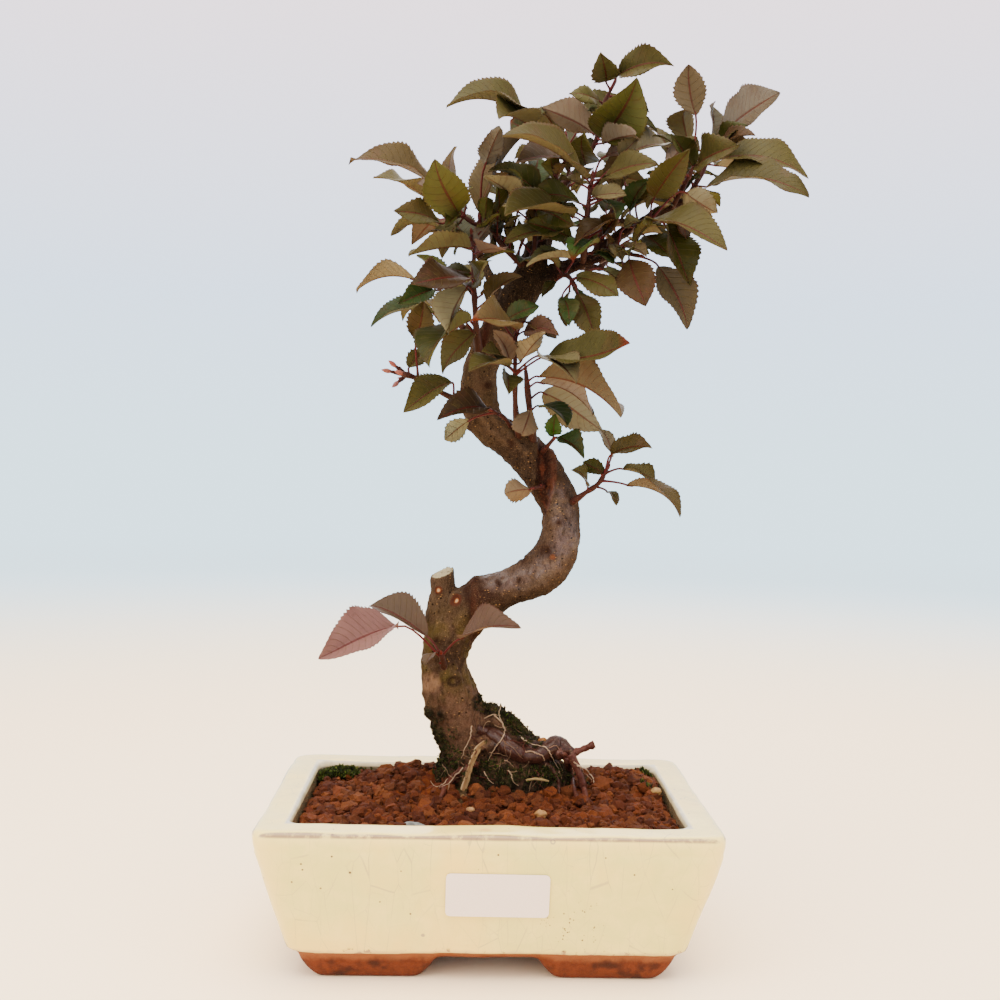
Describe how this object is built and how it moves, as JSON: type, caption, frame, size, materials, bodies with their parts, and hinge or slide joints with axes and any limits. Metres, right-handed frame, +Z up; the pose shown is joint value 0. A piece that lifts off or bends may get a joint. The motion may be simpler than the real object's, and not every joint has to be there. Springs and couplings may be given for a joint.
{
  "type": "apple bonsai in a glazed pot",
  "caption": "Small apple tree with a curved trunk, bared roots, reddish leaves and a sawn stub, growing in a shallow glazed rectangular pot on clay feet.",
  "frame": {"origin": "bottom centre of the whole object's box, on the surface that the pot stands on", "axes": "+Z up along the tree, +X to the right along the pot's long side seen from the front, -Y to the front"},
  "size_m": [0.2662, 0.1708, 0.4501],
  "materials": {
    "pot_glaze": "pale celadon glaze over brown clay, fine crackle",
    "screen_plastic": "dark plastic net",
    "label_paper": "blank white sticker",
    "soil_grains": "rough red-brown volcanic grains",
    "moss_green": "soft green moss",
    "grey_stone": "rough grey pebble",
    "bark": "grey-brown bark with pale specks",
    "leaf": "olive to red-brown leaf, satin"
  },
  "bodies": {
    "root": {"pot": "pot_glaze", "drain_screen_left": "screen_plastic", "drain_screen_right": "screen_plastic", "blank_label": "label_paper", "soil": "soil_grains", "moss_clump": "moss_green", "grey_stone": "grey_stone", "trunk": "bark", "low_bud_leaves": "leaf", "left_bud_twig": "leaf", "left_low_spur": "leaf", "front_shoot": "leaf", "grey_shoot": "leaf", "eye_leaves": "leaf", "right_spur": "leaf", "trunk_leaflet": "leaf", "left_shoot": "leaf", "upper_left_shoot": "leaf", "top_left_shoot": "leaf", "top_shoot": "leaf", "middle_shoot": "leaf", "right_upper_shoot": "leaf", "right_outer_shoot": "leaf", "right_branch_spur": "leaf", "right_low_shoot": "leaf", "lower_spur": "leaf", "rear_left_shoot": "leaf", "rear_top_shoot": "leaf", "rear_right_shoot": "leaf", "rear_low_left_shoot": "leaf", "rear_low_right_shoot": "leaf", "rear_middle_shoot": "leaf", "inner_shoot": "leaf", "inner_right_shoot": "leaf"}
  },
  "joints": []
}
